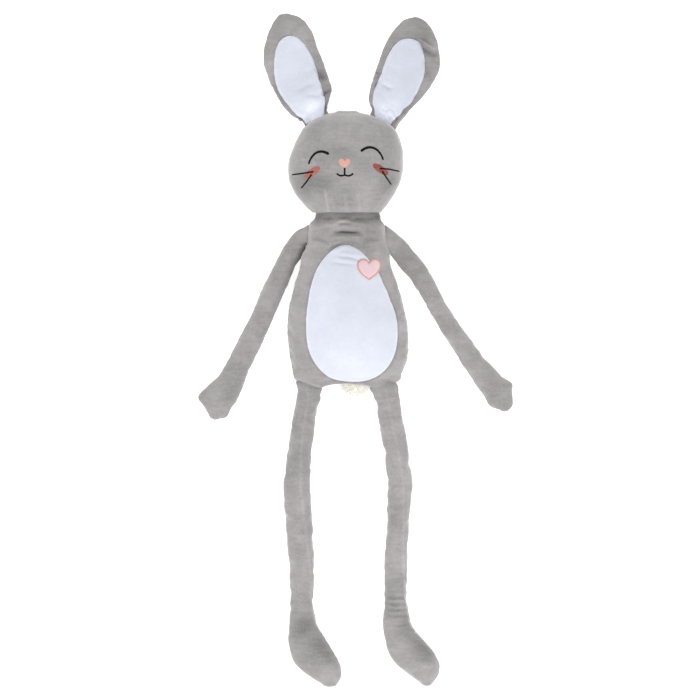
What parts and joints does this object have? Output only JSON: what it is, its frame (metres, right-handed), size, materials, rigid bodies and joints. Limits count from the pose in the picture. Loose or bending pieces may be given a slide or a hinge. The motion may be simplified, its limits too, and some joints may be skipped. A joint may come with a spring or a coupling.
{
  "type": "stuffed bunny rabbit",
  "caption": "Long-limbed stuffed bunny of short grey plush with white belly, lined floppy ears, embroidered sleeping face, heart patch and pompom tail; limbs, head and ears bend at their seams.",
  "frame": {"origin": "on the flat patch of the torso's back, under the middle of the body, where the toy rests on the floor", "axes": "+Y from the feet toward the ears, +Z from the back to the front of the body, +X toward the toy's own left hand"},
  "size_m": [0.4538, 0.973, 0.1174],
  "materials": {
    "grey_plush": "matte",
    "white_plush": "matte",
    "polyester_filling": "matte",
    "black_thread": "satin",
    "pink_satin": "satin",
    "rose_thread": "satin",
    "coral_thread": "satin",
    "cream_fur": "matte"
  },
  "bodies": {
    "torso": {"torso_back_panel": "grey_plush", "torso_front_panel": "grey_plush", "belly_panel": "white_plush", "torso_stuffing": "polyester_filling", "heart_applique": "pink_satin", "heart_edge_stitch": "rose_thread", "tail_pompom": "cream_fur"},
    "head": {"head_back_panel": "grey_plush", "face_panel": "grey_plush", "head_stuffing": "polyester_filling", "eye_stitch_right": "black_thread", "eye_stitch_left": "black_thread", "nose_stitch": "pink_satin", "mouth_stitch": "black_thread", "cheek_stitch_right": "coral_thread", "cheek_stitch_left": "coral_thread", "whisker_upper_right": "black_thread", "whisker_lower_right": "black_thread", "whisker_upper_left": "black_thread", "whisker_lower_left": "black_thread"},
    "ear_right": {"ear_back_panel_right": "grey_plush", "ear_border_right": "grey_plush", "ear_lining_right": "white_plush", "ear_wadding_right": "polyester_filling"},
    "ear_left": {"ear_back_panel_left": "grey_plush", "ear_border_left": "grey_plush", "ear_lining_left": "white_plush", "ear_wadding_left": "polyester_filling"},
    "arm_right": {"arm_front_panel_right": "grey_plush", "arm_back_panel_right": "grey_plush", "arm_stuffing_right": "polyester_filling"},
    "arm_left": {"arm_front_panel_left": "grey_plush", "arm_back_panel_left": "grey_plush", "arm_stuffing_left": "polyester_filling"},
    "leg_right": {"leg_outer_panel_right": "grey_plush", "leg_inner_panel_right": "grey_plush", "leg_stuffing_right": "polyester_filling"},
    "leg_left": {"leg_outer_panel_left": "grey_plush", "leg_inner_panel_left": "grey_plush", "leg_stuffing_left": "polyester_filling"}
  },
  "joints": [
    {"name": "neck_nod", "type": "hinge", "parent": "torso", "child": "head", "pos_m": [0, 0.1502, 0.044], "axis": [1, 0, 0], "range_deg": [-30, 40]},
    {"name": "ear_right_fold", "type": "hinge", "parent": "head", "child": "ear_right", "pos_m": [-0.048, 0.29475, 0.056], "axis": [0.9099, 0.4148, 0], "range_deg": [-60, 100]},
    {"name": "ear_left_fold", "type": "hinge", "parent": "head", "child": "ear_left", "pos_m": [0.05425, 0.29175, 0.056], "axis": [0.892, -0.4521, 0], "range_deg": [-60, 100]},
    {"name": "shoulder_right_raise", "type": "hinge", "parent": "torso", "child": "arm_right", "pos_m": [-0.0595, 0.1265, 0.034], "axis": [-0.891, 0.454, 0], "range_deg": [-30, 80]},
    {"name": "shoulder_left_raise", "type": "hinge", "parent": "torso", "child": "arm_left", "pos_m": [0.05825, 0.119, 0.034], "axis": [-0.8276, -0.5614, 0], "range_deg": [-30, 80]},
    {"name": "hip_right_flex", "type": "hinge", "parent": "torso", "child": "leg_right", "pos_m": [-0.061, -0.09675, 0.036], "axis": [-1, 0, 0], "range_deg": [-60, 90]},
    {"name": "hip_left_flex", "type": "hinge", "parent": "torso", "child": "leg_left", "pos_m": [0.054, -0.099, 0.036], "axis": [-1, 0, 0], "range_deg": [-60, 90]}
  ]
}
